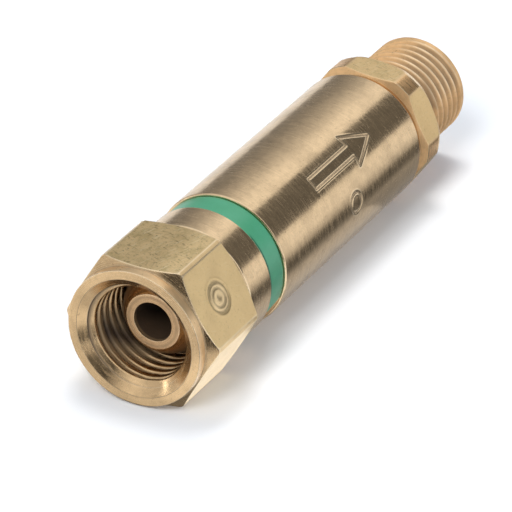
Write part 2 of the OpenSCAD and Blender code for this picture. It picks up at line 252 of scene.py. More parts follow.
def brass(name, turned_tone, drawn_tone, roughness, line_depth=1.0):
    """Brass as it leaves the lathe: fine rings follow the tool wherever the surface was turned, drawn flats
    are smooth with pits and scratches, edges are rubbed bright and carry painted highlights, and dirt and
    painted shade darken it, where their attributes say."""
    material, shader, place = open_material(name)
    x = place.node("SeparateXYZ", {}, {0: place}, "X")
    y, z = Wire(x.socket.node.outputs["Y"]), Wire(x.socket.node.outputs["Z"])
    off_axis = place.node("CombineXYZ", {}, {"Y": y, "Z": z})
    r = off_axis.node("VectorMath", {"operation": "LENGTH"}, {0: off_axis}, "Value")
    marks = ("drawn", "edge", "grime", "satin", "wear")
    drawn, edge, grime, satin, wear = [place.attribute(mark) for mark in marks]

    rings = place.node("CombineXYZ", {}, {"X": x + 1.7 * r, "Y": 0.09 * y, "Z": 0.09 * z})
    fine_rings = rings.noise(4.6, 5, 0.65).between(0.32, 0.68)
    wide_rings = rings.noise(0.6, 3, 0.55)
    waves = place.noise(0.27, 2, 0.4)
    cloud = place.noise(0.22, 4, 0.6)
    grain = place.noise(2.6, 4, 0.65)
    specks = place.noise(2.9, 2, 0.5).between(0.67, 0.73)
    smudges = place.noise(1.1, 5, 0.7).between(0.45, 0.66)
    along = place.node("CombineXYZ", {}, {"X": 0.5 * x + 0.3 * y, "Y": 4.0 * y + 1.3 * x, "Z": 4.0 * z})
    scratches = along.noise(1.1, 4, 0.65).between(0.56, 0.66)
    crosswise = place.node("CombineXYZ", {}, {"X": 3.4 * x - 1.1 * y, "Y": 0.8 * y + 0.5 * x, "Z": 0.8 * z})
    scores = crosswise.noise(1.0, 3, 0.6).between(0.60, 0.66) * wear
    pits = place.noise(2.3, 5, 0.75).between(0.52, 0.68) * (0.2 + 0.8 * wear)
    patina = place.noise(0.42, 5, 0.7).between(0.40, 0.66) * wear

    skin = drawn.blend(turned_tone, drawn_tone)
    dull = tone(*[DULL_SHARE * c for c in turned_tone[:3]])
    skin = ((0.5 - 0.38 * drawn) * cloud.between(0.42, 0.72)).blend(skin, dull)
    skin = (0.38 * (1 - fine_rings) * (1 - drawn)).blend(skin, dull)
    skin = (0.34 * smudges * (1 - drawn)).blend(skin, dull)
    skin = (0.55 * patina * drawn).blend(skin, PATINA_TONE)
    skin = (0.6 * specks * (0.3 + 0.7 * wear)).blend(skin, SPECK_TONE)
    skin = (0.5 * drawn * pits).blend(skin, PIT_TONE)
    skin = ((0.15 + 0.5 * wear) * drawn * scratches).blend(skin, SCRATCH_TONE)
    skin = (0.55 * drawn * scores).blend(skin, SCORE_TONE)
    # Rubbed edges and painted highlights lighten the skin; dirt and painted shade darken it towards
    # brown-black.
    skin = (0.75 * edge * (1 - grime)).blend(skin, RUBBED_AND_HIGHLIGHT_TONE)
    skin = grime.blend(skin, DIRT_AND_SHADE_TONE)

    matt = roughness + 0.16 * (cloud - 0.5) + 0.14 * (grain - 0.5) + 0.13 * (fine_rings - 0.5) * (1 - drawn)
    matt = matt + 0.10 * drawn + 0.18 * pits * drawn + 0.3 * grime - 0.10 * edge + 0.2 * satin
    tool_marks = 0.35 * fine_rings + 0.8 * wide_rings + 9.0 * waves
    flaws = 1.6 * grain - 1.8 * pits - 1.2 * scratches - 2.0 * scores
    height = (1 - drawn) * line_depth * tool_marks + drawn * flaws - 1.6 * specks
    feed(shader, Base_Color=skin, Roughness=matt, Normal=height.bump(1.0, 0.0024),
         Metallic=1 - 0.40 * satin - 0.85 * grime)
    return material


PLAIN_TURN = spread_angles(256)
nipple_tip, nipple_tail, flange_r = extent("inlet_nipple")
GAS_R = 2.65
NOSE_TIP_R = 3.8
NOSE_BALL_R = 5.9
NOSE_LEN = 3.85
FLANGE_T = 1.7
JOURNAL_R = 5.0
TAIL_R = 4.3
TAIL_LEN = 4.3
SCREEN_POCKET_R = 3.4
SCREEN_POCKET_LEN = 1.8
NOSE_POINTS = 20
BORE_SHADE = 0.95
NOSE_SHADE = 0.55
TOOL_MARK_R = NOSE_TIP_R - 0.42
TOOL_MARK_W = 0.07
TOOL_MARK_GRIME = 0.3

flange_x = nipple_tip + NOSE_LEN
shoulder_x = nipple_tail - TAIL_LEN
ball_x = nipple_tip + math.sqrt(NOSE_BALL_R ** 2 - NOSE_TIP_R ** 2)
pocket_x = nipple_tail - SCREEN_POCKET_LEN
nose_start = math.asin(NOSE_TIP_R / NOSE_BALL_R)
nose_stop = math.acos((ball_x - flange_x) / NOSE_BALL_R)
ball_angles = np.linspace(nose_start, nose_stop, NOSE_POINTS)[1:]
nose = [(ball_x - NOSE_BALL_R * math.cos(a), NOSE_BALL_R * math.sin(a), 0.0, 0.5) for a in ball_angles]
nipple_x, nipple_r, nipple_bend = rounded([
    (nipple_tip, GAS_R, 0.12, 0.3), (nipple_tip, NOSE_TIP_R, 0.10, 0.3), *nose,
    (flange_x, flange_r, 0.08, 0.5), (flange_x + FLANGE_T, flange_r, 0.08, 0.5),
    (flange_x + FLANGE_T, JOURNAL_R, 0.10, 0.5), (shoulder_x, JOURNAL_R, 0.10, 0.5),
    (shoulder_x, TAIL_R, 0.10, 0.5), (nipple_tail, TAIL_R, 0.15, 0.5),
    (nipple_tail, SCREEN_POCKET_R, 0.05, 0.5), (pocket_x, SCREEN_POCKET_R, 0.05, 0.5),
    (pocket_x, GAS_R, 0.05, 0.5)])
nipple = turned_piece("nipple", nipple_x, nipple_r, PLAIN_TURN)
# Painted shade: the gas bore goes dark just inside its tip, and the ball nose darkens towards the flange,
# deep in the nut's mouth. The thin dark ring on the tip's face is a real tool mark, and the outline's bends
# get painted highlights.
in_bore = BORE_SHADE * np.clip((nipple_x - nipple_tip - 0.05) / 0.4, 0, 1) * (nipple_r < GAS_R + 0.2)
on_ball = NOSE_SHADE * np.clip((nipple_x - nipple_tip - 0.4) / 2.4, 0, 1) * (nipple_r > NOSE_TIP_R)
tool_mark = TOOL_MARK_GRIME * np.exp(-((nipple_r - TOOL_MARK_R) / TOOL_MARK_W) ** 2)
tool_mark = tool_mark * (nipple_x < nipple_tip + 0.05)
nipple_grime = np.maximum(np.maximum(in_bore, on_ball), tool_mark)
mark_points(nipple, (nipple_x.size, PLAIN_TURN.size), grime=nipple_grime,
            edge=0.5 * nipple_bend * (1 - in_bore))
# The nipple's brass tone is darkened as painted shade for its place inside the nut.
nipple.data.materials.append(brass("shaded_nipple_brass", tone(0.74, 0.48, 0.26), tone(0.74, 0.48, 0.26), 0.30))
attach(nipple, "arrestor")
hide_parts("inlet_nipple")


# Swivel nut: hexagon brass bar, turned to a boss at the mouth, chamfered at both ends, drilled and cut with
# a right-hand hose thread. It turns freely on the nipple's journal.
def rounded_min(first, second, width):
    """The smaller of two radii with the edge between them rounded, and the share of the first in it: with
    h = 1/2 + (second - first)/(2·width) kept in 0 to 1, it is second·(1-h) + first·h - width·h(1-h)."""
    share = np.clip(0.5 + 0.5 * (second - first) / width, 0, 1)
    return second * (1 - share) + first * share - width * share * (1 - share), share


def hexagon_radius(half_width, turn, roll):
    """Radius of a hexagon with a flat facing up, turned by roll: half_width/cos(angle from the nearest
    flat)."""
    return half_width / np.cos((turn - roll + np.pi / 3) % (np.pi / 3) - np.pi / 6)


THREAD_PITCH = 25.4 / 18
THREAD_DEPTH = 0.541 * THREAD_PITCH


def thread_ridge(x, turn, crest, root):
    """Height, 0 to 1, of a right-hand thread with a groove at x = 0 and turn = 0. With d the distance in
    pitches from the middle of the ridge, where x/pitch - turn/2π is a half, it falls from 1 at the crest's
    edge to 0 at the root's."""
    d = np.abs((x / THREAD_PITCH - turn / (2 * np.pi)) % 1 - 0.5)
    rise = np.clip((0.5 - root / 2 - d) / (0.5 - (crest + root) / 2), 0, 1)
    return 0.6 * rise + 0.4 * rise * rise * (3 - 2 * rise)


def smooth_step(value, low, high):
    """0 below low, 1 above high, 3t² - 2t³ between them."""
    t = np.clip((value - low) / (high - low), 0, 1)
    return t * t * (3 - 2 * t)


HEX_CORNERS = [(k * np.pi / 3, math.radians(3), 4.0) for k in range(6)]
nut_front, nut_back, nut_half = extent("swivel_nut")
nut_corner_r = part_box("swivel_nut")[1].y / MM
NUT_BOSS_R = 9.35
NUT_BOSS_LEN = 1.4
CHAMFER_SLOPE = math.tan(math.radians(30))
MOUTH_R = 8.15
MOUTH_DEPTH = 0.9
NUT_THREAD_R = 7.185
NUT_THREAD_START = -0.36
NUT_THREAD_END = (9.7, 10.5)
NUT_WALL = 2.5
JOURNAL_HOLE_R = 5.06
CORNER_LEAN = 0.045
CORNER_BAND = 0.06
CHAMFER_EDGE = 0.14
FLAT_EDGE = 0.05
STAMP_X = 6.88
STAMP_R = 1.95
STAMP_SPAN = 2.6
STAMP_ANGLE = math.radians(150)
RING_DEPTH = 0.13
INNER_DEPTH = 0.09
DOT_DEPTH = 0.12
BURR_HEIGHT = 0.025
TOP_ANGLE = math.radians(90)
# Where painted shade lies across the nut's thread: its middle angle, how far it turns with depth, and its
# width.
SHADE_ANGLE = math.radians(-24)
SHADE_TWIST = math.radians(20)
SHADE_WIDTH = math.radians(29)
RUBBED_FROM = math.radians(94)
RUBBED_FULL = math.radians(114)
RUBBED_END = math.radians(121)

nut_rise = (nut_corner_r - NUT_BOSS_R) * CHAMFER_SLOPE
chamfer_x = nut_front + NUT_BOSS_LEN
flats_x = chamfer_x + nut_rise
wall_x = nut_back - NUT_WALL
nut_turn = spread_angles(330, *HEX_CORNERS, (STAMP_ANGLE, math.radians(10), 2.0))
nut_x, blank_r, nut_bend = rounded([
    (nut_front, MOUTH_R, 0.07, 0.25), (nut_front, NUT_BOSS_R, 0.12, 0.25),
    (chamfer_x, NUT_BOSS_R, 0.05, 0.05), (flats_x, nut_corner_r, 0.10, 0.2),
    (STAMP_X - STAMP_SPAN, nut_corner_r, 0.0, 0.1), (STAMP_X + STAMP_SPAN, nut_corner_r, 0.0, 0.2),
    (nut_back - nut_rise, nut_corner_r, 0.10, 0.06), (nut_back, NUT_BOSS_R, 0.08, 0.6),
    (nut_back, JOURNAL_HOLE_R, 0.08, 0.6), (wall_x, JOURNAL_HOLE_R, 0.05, 0.6),
    (wall_x, NUT_THREAD_R, 0.05, 0.12), (nut_front + MOUTH_DEPTH, NUT_THREAD_R, 0.04, 0.2)])
flat_r = hexagon_radius(nut_half, nut_turn, 0.0)
from_corner = np.clip((nut_turn + np.pi / 6) % (np.pi / 3) - np.pi / 6, -CORNER_BAND, CORNER_BAND)
lengthwise = blank_r > nut_corner_r - 0.02
worn_r = blank_r + CORNER_LEAN * nut_corner_r * (from_corner - CORNER_BAND) * lengthwise
edge_width = CHAMFER_EDGE + (FLAT_EDGE - CHAMFER_EDGE) * smooth_step(nut_x, flats_x, flats_x + 0.5)
nut_r, turned_share = rounded_min(worn_r, flat_r, edge_width)
ridge = thread_ridge(nut_x - NUT_THREAD_START, nut_turn, 0.50, 0.08)
ridge = ridge * (1 - smooth_step(nut_x, *NUT_THREAD_END))
mouth_cone = MOUTH_R - (MOUTH_R - NUT_THREAD_R) / MOUTH_DEPTH * (nut_x - nut_front)
in_hole = blank_r < NUT_THREAD_R + 0.01
threaded = in_hole & (nut_x < wall_x - 0.02) & (nut_x > nut_front + 0.5 * MOUTH_DEPTH)
crest_r = np.maximum(nut_r - THREAD_DEPTH * ridge, np.minimum(mouth_cone, nut_r))
nut_r = np.where(threaded, crest_r, nut_r)

across = nut_half * np.tan(np.clip(nut_turn - STAMP_ANGLE, -0.5, 0.5))
from_stamp = np.hypot(nut_x - STAMP_X, across)
on_flat = (turned_share < 0.5) & (np.abs(nut_turn - STAMP_ANGLE) < 0.4) & (blank_r > nut_half)
ring_cut = np.exp(-((from_stamp - STAMP_R) / 0.17) ** 2)
inner_cut = np.exp(-((from_stamp - 0.62 * STAMP_R) / 0.15) ** 2)
dot_cut = np.exp(-(from_stamp / 0.33) ** 2)
burr = np.exp(-((from_stamp - STAMP_R - 0.34) / 0.14) ** 2)
stamp_cut = on_flat * (RING_DEPTH * ring_cut + INNER_DEPTH * inner_cut + DOT_DEPTH * dot_cut)
nut_r = nut_r - stamp_cut + BURR_HEIGHT * on_flat * burr
# Rubbed brightness and painted highlights on the outline's bends and where the turned corners meet the
# flats, none at the mouth's edge, and a lighter ground inside the stamp.
nut_edge = np.maximum(0.8 * nut_bend * turned_share, 4 * turned_share * (1 - turned_share))
nut_edge = nut_edge * (blank_r > NUT_THREAD_R)
at_mouth = nut_bend * (blank_r < MOUTH_R + 0.1) * (nut_x < nut_front + 0.1)
stamp_floor = on_flat * smooth_step(-from_stamp, -STAMP_R, -STAMP_R + 0.3)
nut_edge = np.maximum(nut_edge * (1 - at_mouth), 0.4 * stamp_floor)
# Painted shade darkens the thread's roots, a band across the thread on the lower left that turns with
# depth, the deepest turns, the crease at the boss's root and the mouth's edge; the stamp's cuts are darker
# too.
nut_grime = np.where(threaded, 0.9 * (1 - ridge) ** 1.5, 0.0) + np.clip(4.5 * stamp_cut, 0, 0.55)
shade_turn = SHADE_ANGLE - SHADE_TWIST * smooth_step(nut_x, 4.0, 7.0)
from_shade = (nut_turn - shade_turn + np.pi) % (2 * np.pi) - np.pi
thread_shade = 0.97 * np.exp(-(from_shade / SHADE_WIDTH) ** 2) * smooth_step(nut_x, 0.9, 4.0)
thread_shade = np.maximum(thread_shade, 0.4 * smooth_step(nut_x, 9.6, 10.5))
nut_grime = np.maximum(nut_grime, thread_shade * in_hole * (nut_x < wall_x + 0.1))
boss_root = np.exp(-((nut_x - chamfer_x) / 0.10) ** 2) * (blank_r > NUT_BOSS_R - 0.2)
nut_grime = np.maximum(nut_grime, np.maximum(0.35 * boss_root, 0.4 * at_mouth))

nut = turned_piece("hexagon_nut", nut_x, nut_r, nut_turn)
top_wear = smooth_step(np.cos(nut_turn - TOP_ANGLE), 0.84, 0.88)
nut_wear = np.where(np.cos(nut_turn - STAMP_ANGLE) > 0.84, 0.08, 0.25 + 0.75 * top_wear)
rubbed_side = 0.12 + 0.53 * smooth_step(nut_turn, RUBBED_FROM, RUBBED_FULL)
rubbed_side = rubbed_side * (nut_turn < RUBBED_END)
edge_satin = lengthwise * np.maximum(0.1 * turned_share, 2.2 * turned_share * (1 - turned_share))
on_boss = (blank_r > NUT_BOSS_R - 0.05) * (1 - smooth_step(nut_x, nut_front + 1.2, nut_front + 1.4))
nut_satin = np.maximum(edge_satin, rubbed_side * (1 - turned_share) * (blank_r > nut_half))
nut_satin = np.maximum(nut_satin, 0.6 * on_boss)
nut_drawn = 1 - turned_share * (1 - 0.7 * lengthwise)
mark_points(nut, nut_r.shape, drawn=nut_drawn, edge=nut_edge, grime=nut_grime, satin=nut_satin,
            wear=nut_wear)
nut.data.materials.append(brass("nut_brass", tone(0.83, 0.58, 0.32), tone(0.84, 0.625, 0.325), 0.23, 0.5))
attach(nut, "nut")
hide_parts("swivel_nut")


# Inlet screen, its ring and the tail's gasket: woven steel gauze held in the nipple's tail by a pressed
# brass ring, and a red fibre washer under the tail.
def dress(node, material):
    """Gives a solid of the frame its material."""
    nodes[node].data.materials.clear()
    nodes[node].data.materials.append(material)


def steel(name, skin, roughness, grain_scale):
    """Bare steel with a fine drawn grain and small dark spots."""
    material, shader, place = open_material(name)
    grain = place.noise(grain_scale, 5, 0.65)
    spots = place.noise(1.7, 3, 0.6).between(0.60, 0.74)
    feed(shader, Base_Color=(0.6 * spots).blend(skin, tone(0.20, 0.18, 0.16)),
         Roughness=roughness + 0.25 * (grain - 0.5),
         Normal=grain.bump(0.6, 0.004))
    shader.inputs["Metallic"].default_value = 1.0
    return material


def fibre(name, skin):
    """Pressed vulcanised fibre: matt, with a felt-like mottle."""
    material, shader, place = open_material(name)
    felt = place.noise(6.0, 4, 0.7)
    mottle = place.noise(1.1, 3, 0.5)
    feed(shader, Base_Color=mottle.between(0.35, 0.7).blend(skin, tone(0.30, 0.09, 0.06)),
         Roughness=0.72 + 0.2 * (felt - 0.5),
         Normal=felt.bump(0.8, 0.02))
    return material


spring_steel = steel("spring_steel", tone(0.60, 0.60, 0.60), 0.32, 3.0)
valve_brass = brass("valve_brass", tone(0.78, 0.60, 0.34), tone(0.78, 0.60, 0.34), 0.28)
red_fibre = fibre("red_fibre", tone(0.45, 0.14, 0.10))
dress("inlet_screen", spring_steel)
dress("screen_ring", valve_brass)
dress("nipple_gasket", red_fibre)


# Inlet body: turned brass with a round shoulder, a shallow groove for the colour band and a threaded end
# for the barrel. The valve chamber, its seat and the snap ring's groove are bored inside it.
BAND_GAP = 0.12
body_front, body_end, shoulder_r = extent("inlet_body")
groove_x = extent("color_band")[0] - BAND_GAP
barrel_front, barrel_back, barrel_r = extent("barrel")
GROOVE_R = 8.75
JOINT_R = 7.5
SHOULDER_CHAMFER = 0.4
O_RING_BACK = 1.9
O_GROOVE_W = 1.5
O_FLOOR_R = 6.4
TAIL_HOLE_R = 4.32
POCKET_X = 18.2
CHAMBER_X = 19.6
SEAT_X = 20.2
LIP_R = 3.25
CHAMBER_R = 4.9
GUIDE_X = 27.5
GUIDE_BACK_X = 29.5
GUIDE_POCKET_R = 5.42
CLIP_BACK_X = 30.3
CLIP_GROOVE_R = 5.92

o_groove_x = barrel_front + O_RING_BACK - O_GROOVE_W / 2
o_groove_end = o_groove_x + O_GROOVE_W
body_x, body_r, body_bend = rounded([
    (body_front, TAIL_HOLE_R, 0.1, 0.6), (body_front, shoulder_r - SHOULDER_CHAMFER, 0.10, 0.3),
    (body_front + SHOULDER_CHAMFER, shoulder_r, 0.14, 0.4), (groove_x, shoulder_r, 0.07, 0.2),
    (groove_x, GROOVE_R, 0.05, 0.4), (barrel_front, GROOVE_R, 0.05, 0.3), (barrel_front, JOINT_R, 0.1, 0.5),
    (o_groove_x, JOINT_R, 0.1, 0.5), (o_groove_x, O_FLOOR_R, 0.1, 0.5),
    (o_groove_end, O_FLOOR_R, 0.1, 0.5), (o_groove_end, JOINT_R, 0.1, 0.5),
    (body_end, JOINT_R, 0.2, 0.5), (body_end, GUIDE_POCKET_R, 0.1, 0.5),
    (CLIP_BACK_X, GUIDE_POCKET_R, 0.05, 0.5), (CLIP_BACK_X, CLIP_GROOVE_R, 0.05, 0.5),
    (GUIDE_BACK_X, CLIP_GROOVE_R, 0.05, 0.5), (GUIDE_BACK_X, GUIDE_POCKET_R, 0.05, 0.5),
    (GUIDE_X, GUIDE_POCKET_R, 0.05, 0.5), (GUIDE_X, CHAMBER_R, 0.05, 0.5), (CHAMBER_X, CHAMBER_R, 0.1, 0.5),
    (CHAMBER_X, LIP_R, 0.05, 0.5), (SEAT_X, LIP_R, 0.1, 0.5), (SEAT_X, GAS_R, 0.1, 0.5),
    (POCKET_X, GAS_R, 0.05, 0.5), (POCKET_X, TAIL_HOLE_R, 0.05, 0.5)])
body = turned_piece("front_body", body_x, body_r, PLAIN_TURN)
in_joint = (body_r < GROOVE_R + 0.02) & (body_x > groove_x + 0.02)
# Painted highlights on the outline's bends outside the groove; the joint inside the barrel is darker.
mark_points(body, (body_x.size, PLAIN_TURN.size), edge=0.8 * body_bend * (body_r > GROOVE_R),
            grime=0.25 * in_joint)
red_brass = brass("turned_brass", tone(0.86, 0.635, 0.385), tone(0.86, 0.635, 0.385), 0.20)
body.data.materials.append(red_brass)
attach(body, "arrestor")
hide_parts("inlet_body")


# Colour band: a strip of green plastic wrapped round the groove and cut off at a slant, with the front edge
# of its last turn set a little back.
BAND_PLAY = 0.03
BAND_T = 0.16
BAND_START = math.radians(-112)
BAND_END = math.radians(206)
BAND_SLANT = math.radians(8)
LAP_SET_BACK = 0.42
LAP_START = math.radians(128)
LAP_BLEND = 0.12
LAP_DROP = 0.05
EDGE_DROP = 0.03

band_front = groove_x + BAND_PLAY
band_back = barrel_front - BAND_PLAY
band_r = extent("color_band")[2]
band_across = np.unique(np.concatenate([np.linspace(0, 1, 25), np.linspace(0.08, 0.18, 15)]))[:, None]
band_along = np.linspace(0, 1, 420)[None, :]
band_x = band_front + (band_back - band_front) * band_across
band_turn = BAND_START + (BAND_END + BAND_SLANT * (0.5 - band_across) - BAND_START) * band_along
lap_line = LAP_SET_BACK / (band_back - band_front)
lapped = smooth_step(band_turn, LAP_START, LAP_START + LAP_BLEND)
lap_step = lapped * (1 - smooth_step(band_across, lap_line - 0.02, lap_line + 0.005))
edge_fall = EDGE_DROP * (np.exp(-band_across / 0.02) + np.exp(-(1 - band_across) / 0.02))
band_surface = band_r - 0.002 - edge_fall - LAP_DROP * lap_step
band_points = np.stack(np.broadcast_arrays(
    band_x, band_surface * np.cos(band_turn), band_surface * np.sin(band_turn)), -1)
here = np.arange(band_turn.size).reshape(band_turn.shape)
band_quads = np.stack([here[:-1, :-1], here[:-1, 1:], here[1:, 1:], here[1:, :-1]], -1).reshape(-1, 4)
band = put_mesh("green_strip", band_points.reshape(-1, 3), band_quads)
lap_shadow = lapped * np.exp(-((band_across - lap_line) / 0.028) ** 2)
mark_points(band, band_turn.shape, grime=lap_shadow)
wall = band.modifiers.new("strip_thickness", "SOLIDIFY")
wall.thickness = BAND_T * MM
wall.offset = -1.0


def green_plastic(name, skin):
    """Smooth coloured plastic with a faint mottle and a painted shadow line where one turn ends on the
    other.
    """
    material, shader, place = open_material(name)
    mottle = place.noise(0.35, 3, 0.5)
    grain = place.noise(5.0, 3, 0.6)
    grime = place.attribute("grime")
    colour = mottle.between(0.3, 0.75).blend(skin, tone(0.067, 0.315, 0.172))
    feed(shader, Base_Color=(0.85 * grime).blend(colour, tone(0.006, 0.05, 0.022)),
         Roughness=0.38 + 0.2 * (grain - 0.5),
         Normal=grain.bump(0.5, 0.004))
    shader.inputs["Coat Weight"].default_value = 0.15
    shader.inputs["Coat Roughness"].default_value = 0.2
    return material


band.data.materials.append(green_plastic("band_green", tone(0.054, 0.288, 0.146)))
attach(band, "arrestor")
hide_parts("color_band")


# Check valve and seals: a brass poppet with a rubber face slides in a drilled brass guide against a steel
# spring, and a snap ring keeps the guide in. Rubber rings seal the barrel's two joints.
def rubber(name):
    """Black nitrile rubber: matt, with a dusty bloom."""
    material, shader, place = open_material(name)
    bloom = place.noise(0.9, 4, 0.6)
    grain = place.noise(7.0, 3, 0.6)
    black, dusty = tone(0.020, 0.020, 0.021), tone(0.055, 0.054, 0.052)
    feed(shader, Base_Color=bloom.between(0.4, 0.8).blend(black, dusty),
         Roughness=0.62 + 0.2 * (grain - 0.5), Normal=grain.bump(0.6, 0.006))
    return material


black_rubber = rubber("black_rubber")
for node in ("body_o_ring", "outlet_o_ring", "poppet_seal"):
    dress(node, black_rubber)
for node in ("valve_poppet", "valve_guide"):
    dress(node, valve_brass)
dress("guide_clip", spring_steel)


TURN_STEPS = 48
WIRE_SIDES = 16


def coil(name, start, end, outer_r, wire_r, turns):
    """A wire wound round the axis: the middle of its section climbs evenly from start to end while it
    turns, and the section is the circle (wire_r·sin s, wire_r·cos s) in the plane through the axis. It
    shrinks to a point at each end, which closes the wire."""
    climb = np.concatenate([[0], np.linspace(0, 1, int(turns * TURN_STEPS) + 1), [1]])[:, None]
    wire = np.pad(np.full(len(climb) - 2, wire_r), 1)[:, None]
    s = np.linspace(0, 2 * np.pi, WIRE_SIDES, endpoint=False)[None, :]
    x = start + wire_r + (end - start - 2 * wire_r) * climb + wire * np.sin(s)
    r = outer_r - wire_r + wire * np.cos(s)
    turn = 2 * np.pi * turns * climb
    points = np.stack([x, r * np.cos(turn), r * np.sin(turn)], -1).reshape(-1, 3)
    here = np.arange(x.size).reshape(x.shape)
    beside = np.roll(here, -1, 1)
    quads = np.stack([here[:-1], here[1:], beside[1:], beside[:-1]], -1).reshape(-1, 4)
    piece = put_mesh(name, points, quads)
    ends = bmesh.new()
    ends.from_mesh(piece.data)
    bmesh.ops.remove_doubles(ends, verts=ends.verts, dist=0.001 * wire_r * MM)
    ends.to_mesh(piece.data)
    ends.free()
    return piece


WIRE_R = 0.3
SPRING_TURNS = 4.5
spring_start, spring_end, spring_r = extent("valve_spring")
joints = {joint["name"]: joint for joint in frame["record"]["behaviour"]["joints"]}
poppet_travel = joints["poppet_slide"]["range_m"][1] / MM
spring = coil("poppet_spring", spring_start, spring_end, spring_r, WIRE_R, SPRING_TURNS)
spring.data.materials.append(spring_steel)
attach(spring, "arrestor")
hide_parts("valve_spring")
1 - poppet_travel / (spring_end - spring_start)
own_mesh(spring)


# Flame element: a tube of sintered steel grains closed by a pressed steel cap, on a red fibre gasket in the
# outlet adapter's seat.
def sintered(name):
    """Steel powder pressed and fired: round grains with dark pores between them."""
    material, shader, place = open_material(name)
    cells = place.node("TexVoronoi", {}, {"Vector": place, "Scale": 4.5}, "Distance")
    pores = cells.between(0.38, 0.62)
    feed(shader, Base_Color=pores.blend(tone(0.46, 0.45, 0.43), tone(0.06, 0.055, 0.05)),
         Roughness=0.5 + 0.3 * pores,
         Normal=cells.bump(0.9, 0.06, invert=True))
    shader.inputs["Metallic"].default_value = 1.0
    return material


dress("flame_element", sintered("sintered_steel"))
dress("element_cap", steel("pressed_steel", tone(0.62, 0.62, 0.62), 0.30, 5.0))
dress("element_gasket", red_fibre)


# Outlet adapter: a hexagon collar between a spigot that is screwed into the barrel and a stud with the
# right-hand hose thread. The stud's mouth has a conical seat.
adapter_start, adapter_end, _ = extent("outlet_adapter")
COLLAR_HALF = 9.0
COLLAR_CORNER_R = 9.725
COLLAR_FACE_R = 8.7
COLLAR_LEN = 4.9
COLLAR_ROLL = math.radians(5)
STUD_R = 7.145
STUD_CHAMFER = 0.35
STUD_THREAD_DEPTH = 0.6
STUD_NECK = 2.4
STUD_LAND = 1.4
REAR_BEVEL = 1.25
REAR_LAND = 0.45
REAR_DROP = 0.27
GROOVE_WIDTH = 0.6 * THREAD_PITCH
SEEN_SIDE = math.radians(130)
# Angles where the stud's grooves get painted shade and its crests painted highlights, and where painted
# shade lies on the neck beside the collar.
LIT_AND_SHADED_RISE = np.radians((72, 112))
LIT_AND_SHADED_FALL = np.radians((150, 175))
NECK_RISE = np.radians((124, 138))
NECK_FALL = np.radians((160, 172))
CONE_MOUTH_R = 5.6
OUTLET_R = 3.0
CONE_SLOPE = math.tan(math.radians(30))
ELEMENT_SEAT_R = 5.22
ELEMENT_SEAT = 2.0

collar_x = barrel_back
stud_x = collar_x + COLLAR_LEN
bevel_x = stud_x - REAR_BEVEL
collar_rise = (COLLAR_CORNER_R - COLLAR_FACE_R) * CHAMFER_SLOPE
cone_x = adapter_end - (CONE_MOUTH_R - OUTLET_R) / CONE_SLOPE
back_groove_x = collar_x - O_RING_BACK - O_GROOVE_W / 2
back_groove_end = back_groove_x + O_GROOVE_W
seat_x = adapter_start + ELEMENT_SEAT
collar_turn = spread_angles(290, *[(a + COLLAR_ROLL, w, g) for a, w, g in HEX_CORNERS])
adapter_x, blank_r, adapter_bend = rounded([
    (adapter_start, ELEMENT_SEAT_R, 0.1, 2.0), (adapter_start, JOINT_R, 0.2, 2.0),
    (back_groove_x, JOINT_R, 0.1, 0.6), (back_groove_x, O_FLOOR_R, 0.1, 0.6),
    (back_groove_end, O_FLOOR_R, 0.1, 0.6), (back_groove_end, JOINT_R, 0.1, 0.6),
    (collar_x, JOINT_R, 0.05, 0.3), (collar_x, COLLAR_FACE_R, 0.06, 0.045),
    (collar_x + collar_rise, COLLAR_CORNER_R, 0.10, 0.12), (bevel_x, COLLAR_CORNER_R, 0.22, 0.06),
    (stud_x - REAR_LAND, COLLAR_CORNER_R - REAR_DROP, 0.18, 0.045),
    (stud_x, COLLAR_FACE_R, 0.06, 0.3), (stud_x, STUD_R, 0.06, 0.115),
    (adapter_end - STUD_CHAMFER, STUD_R, 0.08, 0.08), (adapter_end, STUD_R - STUD_CHAMFER, 0.08, 0.2),
    (adapter_end, CONE_MOUTH_R, 0.06, 0.6), (cone_x, OUTLET_R, 0.1, 2.0),
    (seat_x, OUTLET_R, 0.1, 0.6), (seat_x, ELEMENT_SEAT_R, 0.05, 0.6)])
flat_r = hexagon_radius(COLLAR_HALF, collar_turn, COLLAR_ROLL)
edge_width = 0.10 + 0.22 * smooth_step(adapter_x, stud_x - collar_rise - 0.5, stud_x - collar_rise)
adapter_r, turned_share = rounded_min(blank_r, flat_r, edge_width)
on_stud = (adapter_x > stud_x + 0.05) & (blank_r > CONE_MOUTH_R + 0.2)
land_x = adapter_end - STUD_LAND
neck_x = stud_x + STUD_NECK
stud_ridge = thread_ridge(adapter_x - land_x + GROOVE_WIDTH / 2, collar_turn - SEEN_SIDE, 0.14, 0.24)
thread_fade = smooth_step(adapter_x, neck_x - 0.8, neck_x + 0.5)
thread_fade = thread_fade * (1 - smooth_step(adapter_x, land_x, land_x + 0.6))
stud_groove = (1 - stud_ridge) * thread_fade
threaded_r = np.minimum(blank_r, STUD_R - STUD_THREAD_DEPTH * stud_groove)
adapter_r = np.where(on_stud, threaded_r, adapter_r)
